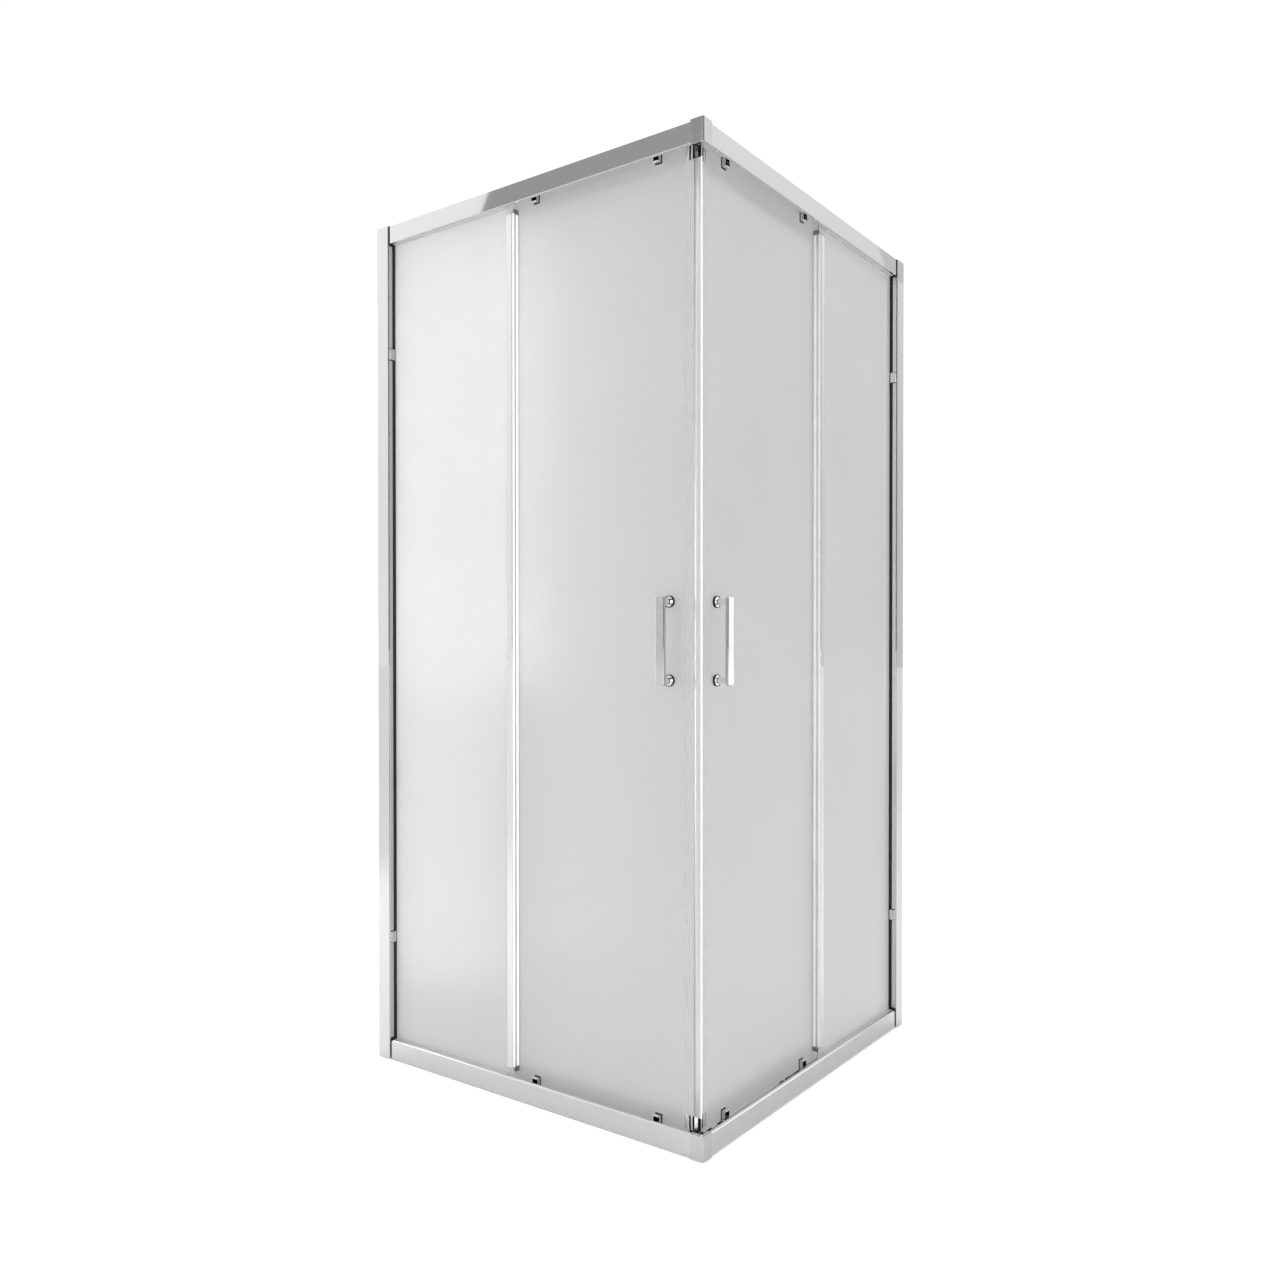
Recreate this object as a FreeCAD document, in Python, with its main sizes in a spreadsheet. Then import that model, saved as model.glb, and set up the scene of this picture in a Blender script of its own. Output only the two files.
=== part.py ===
import FreeCAD, Part
import math
import os
import Sketcher

# Corner entry shower enclosure with two sliding doors, in millimetres.
# The right hand side is drawn in its own frame: x runs from the outer corner to the wall,
# y runs inwards from the outer face and z runs up. The left hand side is its mirror image
# in the upright plane that holds the outer corner and the corner of the room.

SIZES = {
    # Whole enclosure.
    "plan_side": 900.0,
    "frame_height": 1900.0,
    "overrun": 1.0,
    "run_gap": 0.3,
    "hardware_round": 2.0,
    # Depths inwards from the outer face.
    "rail_setback": 2.0,
    "rail_depth": 60.0,
    "pane_depth": 20.0,
    "door_depth": 40.0,
    # Glass.
    "pane_thickness": 5.0,
    "door_thickness": 5.0,
    "pane_lap": 25.0,
    "pane_grip": 7.5,
    "door_start": 61.0,
    "door_width": 459.0,
    "door_floor_gap": 18.2,
    "door_head_gap": 6.7,
    # Wall profile, a channel with a track for square nuts.
    "jamb_width": 39.0,
    "channel_wall": 1.6,
    "channel_web": 2.0,
    "flange_setback": 1.5,
    "track_wall": 1.2,
    "track_width": 8.4,
    "track_mouth": 5.0,
    "track_height": 6.0,
    "wall_screw_depth": 38.0,
    "wall_screw_radius": 3.0,
    "wall_screw_margin": 150.0,
    # Side post, a channel with a glazing groove.
    "post_wall": 1.5,
    "post_reach": 30.0,
    "post_round": 1.0,
    # Rails.
    "rail_wall": 1.8,
    "fin_wall": 1.5,
    "fin_length": 16.5,
    "rail_drop": 0.5,
    "top_face_height": 39.5,
    "top_back_height": 48.5,
    "bottom_face_height": 41.0,
    "lip_return": 6.0,
    "top_lip_round": 1.0,
    "bottom_lip_round": 5.0,
    "edge_round": 1.0,
    "port_size": 8.0,
    "port_radius": 1.9,
    "port_front": 10.0,
    "port_middle": 34.0,
    "rib_width": 2.4,
    "rib_height": 3.5,
    "rib_round": 0.9,
    # Seals of the fixed glass and of the rails.
    "end_seal": 3.0,
    "end_seal_proud": 0.6,
    "end_seal_drop": 3.0,
    "gasket_wall": 2.0,
    "gasket_base": 2.2,
    "lift_room": 4.5,
    "base_seal_height": 4.0,
    "base_seal_top": 2.0,
    "base_seal_foot": 6.0,
    "base_seal_inset": 0.5,
    # Corner caps and brackets.
    "cap_leg": 29.0,
    "cap_rise": 2.5,
    "cap_round": 3.5,
    "cap_lap": 3.0,
    "cap_lip": 9.0,
    "bracket_leg": 44.0,
    "bracket_thickness": 9.0,
    "bracket_height": 18.0,
    "bracket_shift": 10.0,
    "corner_screw_place": 18.0,
    # Screws.
    "screw_radius": 1.8,
    "screw_head_radius": 3.2,
    "screw_head_height": 2.2,
    "screw_length": 22.0,
    "corner_screw_length": 9.0,
    "nut_radius": 4.0,
    "nut_height": 3.0,
    # Screw covers on the side posts.
    "cover_low": 280.0,
    "cover_from_top": 290.0,
    "cover_height": 25.0,
    "cover_width": 12.5,
    "cover_rise": 3.4,
    "cover_wall": 1.0,
    # Edge profile of the fixed glass and its plugs.
    "edge_wall": 1.6,
    "edge_lap": 14.0,
    "edge_foot": 9.6,
    "edge_gap": 0.6,
    "edge_end_low": 12.0,
    "edge_end_high": 10.0,
    "plug_length": 12.0,
    "plug_flange": 10.0,
    "plug_gap": 0.8,
    # Door seals.
    "seal_wall": 1.4,
    "seal_lap": 10.0,
    "seal_end_low": 15.0,
    "seal_end_high": 10.0,
    "seal_gap": 0.2,
    "magnet_width": 5.2,
    "magnet_thickness": 1.6,
    "magnet_inset": 1.5,
    "magnet_shift": 1.2,
    "chamber_start": 48.5,
    "chamber_end": 59.5,
    "rear_lap": 9.0,
    "rear_lip": 10.6,
    "buffer_start": 50.0,
    "buffer_lap": 4.0,
    "buffer_height": 26.0,
    # Handles.
    "handle_place": 103.0,
    "handle_height": 952.5,
    "handle_width": 20.5,
    "handle_length": 170.0,
    "handle_thickness": 6.5,
    "handle_front": 5.0,
    "handle_round": 6.0,
    "handle_edge": 1.6,
    "post_spacing": 150.0,
    "post_radius": 6.5,
    "collar_radius": 10.0,
    "collar_height": 3.0,
    "handle_pad_radius": 11.3,
    "handle_hole_radius": 4.0,
    "handle_screw_radius": 2.5,
    "handle_screw_grip": 6.0,
    "dome_radius": 8.0,
    "dome_height": 3.2,
    "dome_rim": 1.2,
    # Roller fittings.
    "pad_thickness": 1.0,
    "roller_lead": 129.0,
    "roller_trail": 78.0,
    "cap_width": 14.0,
    "cap_height": 18.0,
    "cap_depth": 10.0,
    "cap_shift": 2.5,
    "cap_bevel": 1.5,
    "cap_pad_width": 16.0,
    "cap_pad_height": 21.0,
    "bolt_radius": 3.0,
    "bolt_hole_radius": 5.0,
    "bolt_drop": 15.5,
    "bolt_height": 38.0,
    "axle_radius": 2.5,
    "axle_gap": 0.1,
    "axle_shoulder": 3.6,
    "axle_head": 1.2,
    "wheel_width": 6.0,
    "wheel_reach": 6.9,
    "groove_mouth": 4.6,
    "groove_floor": 3.2,
    "top_wheel_radius": 11.0,
    "top_groove_radius": 9.0,
    "top_wheel_headroom": 1.7,
    "hanger_thickness": 3.5,
    "hanger_width": 24.0,
    "hanger_over": 9.0,
    "hanger_under": 7.0,
    "bottom_wheel_radius": 8.0,
    "bottom_groove_radius": 6.3,
    "bottom_wheel_footroom": 1.2,
    # Sprung release in the bottom guides.
    "release_travel": 5.0,
    "slide_thickness": 2.3,
    "slide_width": 14.0,
    "slide_gap": 0.2,
    "slide_tail": 7.0,
    "guide_width": 26.0,
    "guide_depth": 11.5,
    "guide_floor": 4.6,
    "guide_height": 20.6,
    "tab_thickness": 3.0,
    "tab_depth": 11.0,
    "spring_radius": 2.3,
    "spring_wire": 0.6,
    "spring_pitch": 3.7,
    "spring_depth": 10.0,
    "spring_bore": 3.3,
    # Door stops.
    "stop_margin": 72.5,
    "stop_length": 16.0,
    "stop_height": 15.0,
}

WALL_SCREWS = 4
SQUARE = 4
ROOT_HALF = math.sqrt(0.5)

doc = FreeCAD.newDocument("shower_enclosure")
sheet = doc.addObject("Spreadsheet::Sheet", "Sizes")
for row, (alias, value) in enumerate(SIZES.items(), 1):
    sheet.set(f"A{row}", alias)
    sheet.set(f"B{row}", str(value))
    sheet.setAlias(f"B{row}", alias)
doc.recompute()


class Length:
    """A length that carries its number and its formula in the sheet's sizes."""

    def __init__(self, value, formula):
        self.value = value
        self.formula = formula

    def __add__(self, other):
        return Length(self.value + other.value, f"({self.formula} + {other.formula})")

    def __sub__(self, other):
        return Length(self.value - other.value, f"({self.formula} - {other.formula})")

    def __mul__(self, factor):
        return Length(self.value * factor, f"({self.formula} * {factor})")

    def __truediv__(self, divisor):
        return Length(self.value / divisor, f"({self.formula} / {divisor})")

    def __neg__(self):
        return Length(-self.value, f"(0 - {self.formula})")


ZERO = Length(0.0, "0")


class Sizes:
    """The sizes of the sheet, by name."""

    def __getattr__(self, alias):
        return Length(float(sheet.get(alias)), f"Sizes.{alias}")


S = Sizes()

# Places that several pieces share, worked out from the sheet.
half_side = S.plan_side / 2
post_face = S.plan_side - S.jamb_width
rail_end = post_face - S.end_seal
face_back = S.rail_setback + S.rail_wall
rail_back = S.rail_setback + S.rail_depth
back_wall = rail_back - S.rail_wall
channel_depth = rail_back + S.rail_setback
pane_front = S.pane_depth
pane_back = S.pane_depth + S.pane_thickness
groove_front = pane_front - S.gasket_wall
groove_back = pane_back + S.gasket_wall
pane_end = post_face + S.pane_grip
groove_end = pane_end + S.gasket_wall
door_front = S.door_depth
door_back = S.door_depth + S.door_thickness
door_end = S.door_start + S.door_width
pane_start = door_end - S.pane_lap

rail_top = S.frame_height - S.rail_drop
rail_ceiling = rail_top - S.rail_wall
top_lip = rail_top - S.top_face_height
rail_bottom = S.base_seal_height
rail_floor = rail_bottom + S.rail_wall
bottom_lip = rail_bottom + S.bottom_face_height
pane_bottom = rail_floor + S.gasket_base
pane_top = rail_ceiling - S.lift_room - S.gasket_base
door_bottom = rail_floor + S.door_floor_gap
door_top = rail_ceiling - S.door_head_gap
top_fin_end = rail_ceiling - S.fin_length
bottom_fin_end = rail_floor + S.fin_length
port_places = (S.port_front, S.port_middle)

inner_face = door_back + S.pad_thickness
outer_face = door_front - S.pad_thickness
wheel_centre = inner_face + S.wheel_reach
rib_front = wheel_centre - S.rib_width / 2
rib_back = wheel_centre + S.rib_width / 2
top_wheel_z = rail_ceiling - S.top_wheel_headroom - S.top_wheel_radius
top_rib_tip = top_wheel_z - S.top_groove_radius - S.run_gap
top_ledge = top_rib_tip - S.rib_height
bottom_wheel_z = rail_floor + S.release_travel + S.bottom_wheel_footroom + S.bottom_wheel_radius
bottom_rib_tip = bottom_wheel_z + S.bottom_groove_radius + S.run_gap
bottom_ledge = bottom_rib_tip + S.rib_height

top_bolt_z = top_wheel_z - S.bolt_drop
bottom_bolt_z = S.bolt_height
roller_places = {"lead": S.roller_lead, "trail": door_end - S.roller_trail}
cover_places = (S.cover_low, S.frame_height - S.cover_from_top)
handle_ends = (S.handle_height - S.post_spacing / 2, S.handle_height + S.post_spacing / 2)

NORMAL_SIGN = {"XY_Plane": 1, "YZ_Plane": 1, "XZ_Plane": -1}
SOLIDS = []


def rounded(points):
    """Edges of a closed outline; a point may carry a third length, the radius of its corner."""
    def towards(start, goal):
        along_x = abs(goal[0].value - start[0].value) > abs(goal[1].value - start[1].value)
        sign = math.copysign(1, (goal[0] - start[0]).value if along_x else (goal[1] - start[1]).value)
        if along_x:
            return (start[0] + start[2] * sign, start[1]), (sign, 0)
        return (start[0], start[1] + start[2] * sign), (0, sign)

    stops = []
    for place, point in enumerate(points):
        if len(point) == 2:
            stops.append((point, None))
            continue
        entry, back = towards(point, points[place - 1])
        leave, ahead = towards(point, points[(place + 1) % len(points)])
        centre = FreeCAD.Vector(entry[0].value + ahead[0] * point[2].value,
                                entry[1].value + ahead[1] * point[2].value, 0)
        turn = ahead[0] * back[1] - ahead[1] * back[0]
        stops.append((entry, (centre, point[2], turn < 0)))
        stops.append((leave, None))
    return stops


class Solid:
    """One piece, as a body whose sketches take their sizes from the sheet."""

    def __init__(self, label):
        self.body = doc.addObject("PartDesign::Body", label)
        self.body.Label = label

    def sketch(self, plane, offset):
        planes = {feature.Role: feature for feature in self.body.Origin.OriginFeatures}
        sketch = self.body.newObject("Sketcher::SketchObject", "outline")
        sketch.AttachmentSupport = [(planes[plane], "")]
        sketch.MapMode = "FlatFace"
        for axis, length in zip("xyz", offset):
            sketch.setExpression(f"AttachmentOffset.Base.{axis}", length.formula)
        return sketch

    def fix(self, sketch, edge, end, x, y):
        for kind, length, axis in (("DistanceX", x, -2), ("DistanceY", y, -1)):
            if length is ZERO:
                sketch.addConstraint(Sketcher.Constraint("PointOnObject", edge, end, axis))
                continue
            sketch.addConstraint(Sketcher.Constraint(kind, -1, 1, edge, end, length.value))
            sketch.setExpression(f"Constraints[{sketch.ConstraintCount - 1}]", length.formula)

    def outline(self, sketch, points):
        stops = rounded(points)
        ends = []
        for place, (start, arc) in enumerate(stops):
            goal = stops[(place + 1) % len(stops)][0]
            first = FreeCAD.Vector(start[0].value, start[1].value, 0)
            last = FreeCAD.Vector(goal[0].value, goal[1].value, 0)
            if arc is None:
                edge = sketch.addGeometry(Part.LineSegment(first, last))
                ends.append((edge, 1, 2))
                continue
            centre, radius, clockwise = arc
            angles = [math.atan2((point - centre).y, (point - centre).x) for point in (first, last)]
            if clockwise:
                angles.reverse()
            circle = Part.Circle(centre, FreeCAD.Vector(0, 0, 1), radius.value)
            edge = sketch.addGeometry(Part.ArcOfCircle(circle, *angles))
            ends.append((edge, 2, 1) if clockwise else (edge, 1, 2))
            sketch.addConstraint(Sketcher.Constraint("Radius", edge, radius.value))
            sketch.setExpression(f"Constraints[{sketch.ConstraintCount - 1}]", radius.formula)
        for place, (edge, start, end) in enumerate(ends):
            follower, entry, _ = ends[(place + 1) % len(ends)]
            sketch.addConstraint(Sketcher.Constraint("Coincident", edge, end, follower, entry))
            self.fix(sketch, edge, start, *stops[place][0])

    def circle(self, sketch, x, y, radius):
        centre = FreeCAD.Vector(x.value, y.value, 0)
        edge = sketch.addGeometry(Part.Circle(centre, FreeCAD.Vector(0, 0, 1), radius.value))
        self.fix(sketch, edge, 3, x, y)
        sketch.addConstraint(Sketcher.Constraint("Radius", edge, radius.value))
        sketch.setExpression(f"Constraints[{sketch.ConstraintCount - 1}]", radius.formula)

    def section(self, plane, start, outlines, circles):
        sketch = self.sketch(plane, (ZERO, ZERO, start * NORMAL_SIGN[plane]))
        for points in outlines:
            self.outline(sketch, points)
        for x, y, radius in circles:
            self.circle(sketch, x, y, radius)
        return sketch

    def pad(self, plane, start, length, outlines=(), circles=()):
        sketch = self.section(plane, start, outlines, circles)
        feature = self.body.newObject("PartDesign::Pad", "pad")
        feature.Profile = sketch
        feature.Reversed = NORMAL_SIGN[plane] < 0
        feature.setExpression("Length", length.formula)
        self.body.Tip = feature
        doc.recompute()
        return self

    def cut(self, plane, start, length, outlines=(), circles=()):
        before = self.body.Shape.Volume
        sketch = self.section(plane, start, outlines, circles)
        feature = self.body.newObject("PartDesign::Pocket", "cut")
        feature.Profile = sketch
        feature.Reversed = NORMAL_SIGN[plane] > 0
        feature.setExpression("Length", length.formula)
        self.body.Tip = feature
        doc.recompute()
        if self.body.Shape.Volume >= before:
            raise RuntimeError(f"{self.body.Label}: {feature.Name} cuts nothing")
        return self

    def turn(self, axis, place, height, points):
        """Revolve an outline of (place along the axis, radius) about a level axis."""
        plane = {"y": "YZ_Plane", "x": "XZ_Plane"}[axis]
        sketch = self.sketch(plane, (ZERO, height, place * NORMAL_SIGN[plane]))
        self.outline(sketch, points)
        feature = self.body.newObject("PartDesign::Revolution", "turned")
        feature.Profile = sketch
        feature.ReferenceAxis = (sketch, ["H_Axis"])
        self.body.Tip = feature
        doc.recompute()
        return self

    def bevel(self, kind, size_name, size, chosen):
        """Fillet or chamfer the edges that a test on the edge's box chooses."""
        base = self.body.Tip
        names = [f"Edge{number}" for number, edge in enumerate(base.Shape.Edges, 1)
                 if chosen(edge.BoundBox)]
        feature = self.body.newObject(f"PartDesign::{kind}", kind.lower())
        feature.Base = (base, names)
        feature.setExpression(size_name, size.formula)
        self.body.Tip = feature
        doc.recompute()
        return self


def group(label, members):
    compound = doc.addObject("Part::Compound", label)
    compound.Label = label
    compound.Links = [member.body for member in members]
    return compound


def place_in_corner(item):
    """Stand a piece on the outer corner, with its x axis along the right hand side."""
    item.Placement = FreeCAD.Placement(FreeCAD.Vector(0, 0, 0),
                                       FreeCAD.Rotation(FreeCAD.Vector(0, 0, 1), 90))
    item.setExpression("Placement.Base.x", half_side.formula)
    item.setExpression("Placement.Base.y", (-half_side).formula)
    return item


def keep(item):
    SOLIDS.append(place_in_corner(item))


def both_sides(label, make):
    """Keep the right hand piece and its mirror image on the left hand side."""
    right = make(f"{label}_right")
    keep(right)
    left = doc.addObject("Part::Mirroring", f"{label}_left")
    left.Label = f"{label}_left"
    left.Source = right
    left.Base = FreeCAD.Vector(0, 0, 0)
    left.Normal = FreeCAD.Vector(1, 1, 0)
    SOLIDS.append(left)


def box(x0, x1, y0, y1, radius=None):
    corner = () if radius is None else (radius,)
    return [(x0, y0) + corner, (x1, y0) + corner, (x1, y1) + corner, (x0, y1) + corner]


def box_about(x, y, width, height, radius=None):
    return box(x - width / 2, x + width / 2, y - height / 2, y + height / 2, radius)


# Frame against the walls.

track_centre = (face_back + groove_front) / 2 - S.post_wall / 2


def wall_profile(label):
    """Channel that is screwed to the wall; the side post slides in it."""
    flange_end = post_face + S.flange_setback
    web = S.plan_side - S.channel_web
    track_top = web - S.track_height
    mouth = track_top + S.track_wall
    near = track_centre - S.track_width / 2
    far = track_centre + S.track_width / 2
    section = [
        (S.plan_side, ZERO, S.post_round),
        (S.plan_side, channel_depth),
        (flange_end, channel_depth),
        (flange_end, channel_depth - S.channel_wall),
        (web, channel_depth - S.channel_wall),
        (web, far + S.track_wall),
        (track_top, far + S.track_wall),
        (track_top, track_centre + S.track_mouth / 2),
        (mouth, track_centre + S.track_mouth / 2),
        (mouth, far),
        (web, far),
        (web, near),
        (mouth, near),
        (mouth, track_centre - S.track_mouth / 2),
        (track_top, track_centre - S.track_mouth / 2),
        (track_top, near - S.track_wall),
        (web, near - S.track_wall),
        (web, S.channel_wall),
        (flange_end, S.channel_wall),
        (flange_end, ZERO, S.post_round),
    ]
    step = (S.frame_height - S.wall_screw_margin * 2) / (WALL_SCREWS - 1)
    holes = [(S.wall_screw_depth, S.wall_screw_margin + step * number, S.wall_screw_radius)
             for number in range(WALL_SCREWS)]
    piece = Solid(label).pad("XY_Plane", ZERO, S.frame_height, [section])
    return piece.cut("YZ_Plane", web, S.channel_web + S.overrun, circles=holes).body


def side_post(label):
    """Channel with the glazing groove; it closes the ends of the rails."""
    reach = post_face + S.post_reach
    web = post_face + S.post_wall
    section = [
        (post_face, S.rail_setback, S.post_round),
        (reach, S.rail_setback),
        (reach, S.rail_setback + S.post_wall),
        (web, S.rail_setback + S.post_wall),
        (web, groove_front - S.post_wall),
        (groove_end + S.post_wall, groove_front - S.post_wall),
        (groove_end + S.post_wall, groove_back + S.post_wall),
        (web, groove_back + S.post_wall),
        (web, rail_back - S.post_wall),
        (reach, rail_back - S.post_wall),
        (reach, rail_back),
        (post_face, rail_back, S.post_round),
        (post_face, groove_back),
        (groove_end, groove_back),
        (groove_end, groove_front),
        (post_face, groove_front),
    ]
    holes = [(track_centre, height, S.screw_radius) for height in cover_places]
    for height in (rail_floor + S.port_size / 2, rail_ceiling - S.port_size / 2):
        holes += [(depth, height, S.screw_radius) for depth in port_places]
    piece = Solid(label).pad("XY_Plane", ZERO, S.frame_height, [section])
    return piece.cut("YZ_Plane", post_face, S.post_wall, circles=holes).body


def screw_covers(label):
    """Clip on covers over the adjusting screws of one side post."""
    front = post_face - S.cover_rise
    covers = []
    for height in cover_places:
        shell = box_about(track_centre, height, S.cover_width, S.cover_height, S.hardware_round)
        room = box_about(track_centre, height, S.cover_width - S.cover_wall * 2,
                         S.cover_height - S.cover_wall * 2)
        cover = Solid(f"{label}_cover").pad("YZ_Plane", front, S.cover_rise, [shell])
        cover.cut("YZ_Plane", front + S.cover_wall, S.cover_rise, [room])
        covers.append(cover)
    return covers


def end_seals():
    """Rubber plates between the rail ends and the side post, in front of and behind the gasket."""
    front = (S.rail_setback - S.end_seal_proud, groove_front - S.run_gap)
    back = (groove_back + S.run_gap, rail_back)
    top_port = rail_ceiling - S.port_size / 2
    bottom_port = rail_floor + S.port_size / 2
    plates = (
        (front, (top_lip - S.end_seal_drop, rail_top), (port_places[0], top_port)),
        (back, (rail_top - S.top_back_height, rail_top), (port_places[1], top_port)),
        (front, (rail_bottom, bottom_lip + S.end_seal_drop), (port_places[0], bottom_port)),
        (back, (rail_bottom, bottom_ledge + S.rail_wall), (port_places[1], bottom_port)),
    )
    return [Solid("end_seal").pad("YZ_Plane", rail_end, S.end_seal, [box(*depths, *heights)],
                                  [(*screw, S.screw_radius)])
            for depths, heights, screw in plates]


def glazing_gasket(label):
    """Channel of rubber round three edges of the fixed glass, and the seals of the rail ends."""
    start = pane_start + S.gasket_wall
    strip = [
        (start, pane_bottom - S.gasket_base),
        (groove_end, pane_bottom - S.gasket_base),
        (groove_end, pane_top + S.gasket_base),
        (start, pane_top + S.gasket_base),
        (start, top_fin_end),
        (post_face, top_fin_end),
        (post_face, bottom_fin_end),
        (start, bottom_fin_end),
    ]
    slot = box(pane_start, pane_end, pane_bottom, pane_top)
    channel = Solid("gasket_channel").pad("XZ_Plane", groove_front, groove_back - groove_front, [strip])
    channel.cut("XZ_Plane", pane_front, S.pane_thickness, [slot])
    return group(label, [channel] + end_seals())


def fixed_glass(label):
    sheet_outline = box(pane_start, pane_end, pane_bottom, pane_top)
    return Solid(label).pad("XZ_Plane", pane_front, S.pane_thickness, [sheet_outline]).body


def edge_profile(label):
    """Strip that clips on the free edge of the fixed glass and reaches back to the door."""
    nose = pane_start - S.edge_wall
    lap = pane_start + S.edge_lap
    foot = nose + S.edge_foot
    tip = door_front - S.edge_gap
    section = [
        (nose, pane_front - S.edge_wall, S.edge_round),
        (lap, pane_front - S.edge_wall),
        (lap, pane_front),
        (pane_start, pane_front),
        (pane_start, pane_back),
        (lap, pane_back),
        (lap, pane_back + S.edge_wall),
        (pane_start, pane_back + S.edge_wall),
        (pane_start, tip - S.edge_wall),
        (foot, tip - S.edge_wall),
        (foot, tip),
        (nose, tip, S.edge_round),
    ]
    start = bottom_lip + S.edge_end_low
    length = top_lip - S.edge_end_high - start
    return Solid(label).pad("XY_Plane", start, length, [section]).body


def edge_plugs(label):
    """Plugs that close both ends of one edge profile."""
    nose = pane_start - S.edge_wall
    lap = pane_start + S.edge_lap
    tip = door_front - S.edge_gap
    core = box(pane_start, lap - S.edge_wall, pane_back + S.edge_wall, tip - S.edge_wall)
    flange = box(nose, lap, pane_back, tip - S.plug_gap)
    low = bottom_lip + S.edge_end_low
    high = top_lip - S.edge_end_high
    ends = ((low, low - S.plug_flange), (high - S.plug_length, high))
    plugs = []
    for core_start, flange_start in ends:
        plug = Solid(f"{label}_plug").pad("XY_Plane", core_start, S.plug_length, [core])
        plugs.append(plug.pad("XY_Plane", flange_start, S.plug_flange, [flange]))
    return plugs


# Rails.

def mitre(piece):
    """Cut the corner end of a rail at 45 degrees."""
    reach = rail_back + S.overrun
    waste = [(ZERO, ZERO), (reach, reach), (ZERO, reach)]
    return piece.cut("XY_Plane", ZERO, S.frame_height, [waste])


def corner_screw_hole(piece, height):
    hole = (S.corner_screw_place, height, S.screw_head_radius)
    return piece.cut("XZ_Plane", S.rail_setback - S.overrun, S.rail_wall + S.overrun, circles=[hole])


def port(place, plate, tip):
    """Square boss with a hole for the thread of an end screw, as part of a rail's outline."""
    near = place - S.port_size / 2
    far = place + S.port_size / 2
    return [(near, plate), (near, tip), (far, tip), (far, plate)]


def fin(near, plate, tip):
    far = near + S.fin_wall
    return [(near, plate), (near, tip), (far, tip), (far, plate)]


def top_rail(label):
    """Extrusion with the face, the glazing pocket, two screw ports and the roller ledge."""
    port_tip = rail_ceiling - S.port_size
    section = [
        (S.rail_setback, rail_top, S.edge_round),
        (S.rail_setback, top_lip, S.top_lip_round),
        (S.rail_setback + S.lip_return, top_lip),
        (S.rail_setback + S.lip_return, top_lip + S.rail_wall),
        (face_back, top_lip + S.rail_wall),
        (face_back, rail_ceiling),
    ]
    section += port(port_places[0], rail_ceiling, port_tip)
    section += fin(groove_front - S.fin_wall, rail_ceiling, top_fin_end)
    section += fin(groove_back, rail_ceiling, top_fin_end)
    section += port(port_places[1], rail_ceiling, port_tip)
    section += [
        (back_wall, rail_ceiling),
        (back_wall, top_ledge),
        (rib_back, top_ledge),
        (rib_back, top_rib_tip, S.rib_round),
        (rib_front, top_rib_tip, S.rib_round),
        (rib_front, top_ledge - S.rail_wall),
        (back_wall, top_ledge - S.rail_wall),
        (back_wall, rail_top - S.top_back_height),
        (rail_back, rail_top - S.top_back_height),
        (rail_back, rail_top, S.edge_round),
    ]
    holes = [(depth, rail_ceiling - S.port_size / 2, S.port_radius) for depth in port_places]
    piece = mitre(Solid(label).pad("YZ_Plane", ZERO, rail_end, [section], holes))
    return corner_screw_hole(piece, bracket_heights["top"] + S.bracket_height / 2).body


def bottom_rail(label):
    """Extrusion like the top rail, upside down, with the rib that the sprung wheels press on."""
    port_tip = rail_floor + S.port_size
    section = [
        (rail_back, rail_bottom, S.edge_round),
        (rail_back, bottom_ledge + S.rail_wall),
        (rib_front, bottom_ledge + S.rail_wall),
        (rib_front, bottom_rib_tip, S.rib_round),
        (rib_back, bottom_rib_tip, S.rib_round),
        (rib_back, bottom_ledge),
        (back_wall, bottom_ledge),
        (back_wall, rail_floor),
    ]
    section += port(port_places[1], rail_floor, port_tip)[::-1]
    section += fin(groove_back, rail_floor, bottom_fin_end)[::-1]
    section += fin(groove_front - S.fin_wall, rail_floor, bottom_fin_end)[::-1]
    section += port(port_places[0], rail_floor, port_tip)[::-1]
    section += [
        (face_back, rail_floor),
        (face_back, bottom_lip - S.rail_wall, S.bottom_lip_round - S.rail_wall),
        (S.rail_setback + S.lip_return, bottom_lip - S.rail_wall),
        (S.rail_setback + S.lip_return, bottom_lip),
        (S.rail_setback, bottom_lip, S.bottom_lip_round),
        (S.rail_setback, rail_bottom),
    ]
    holes = [(depth, rail_floor + S.port_size / 2, S.port_radius) for depth in port_places]
    piece = mitre(Solid(label).pad("YZ_Plane", ZERO, rail_end, [section], holes))
    return corner_screw_hole(piece, bracket_heights["bottom"] + S.bracket_height / 2).body


def base_seal(label):
    """Seal between the bottom rail and the tray, standing on two feet."""
    near = S.rail_setback + S.base_seal_inset
    far = rail_back - S.base_seal_inset
    step = S.base_seal_height - S.base_seal_top
    section = [
        (near, ZERO),
        (near + S.base_seal_foot, ZERO),
        (near + S.base_seal_foot, step),
        (far - S.base_seal_foot, step),
        (far - S.base_seal_foot, ZERO),
        (far, ZERO),
        (far, S.base_seal_height),
        (near, S.base_seal_height),
    ]
    return mitre(Solid(label).pad("YZ_Plane", ZERO, post_face, [section]))


def door_stop(label):
    """Block astride the roller rib that the trailing wheel meets when the door is open."""
    start = post_face - S.stop_margin
    front = rib_front - S.fin_wall
    base = top_ledge - S.rail_wall
    section = [
        (front, base),
        (rib_front, base),
        (rib_front, top_rib_tip),
        (rib_back, top_rib_tip),
        (rib_back, top_ledge),
        (back_wall, top_ledge),
        (back_wall, top_ledge + S.stop_height),
        (front, top_ledge + S.stop_height, S.hardware_round),
    ]
    return Solid(f"{label}_stop").pad("YZ_Plane", start, S.stop_length, [section])


# Outer corner.

bracket_heights = {"top": top_lip + S.bracket_shift, "bottom": rail_floor + S.bracket_shift}


def angle(near, far, leg):
    """Outline of an L that follows both outer faces of the corner."""
    return [(near, near), (leg, near), (leg, far), (far, far), (far, leg), (near, leg)]


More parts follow.
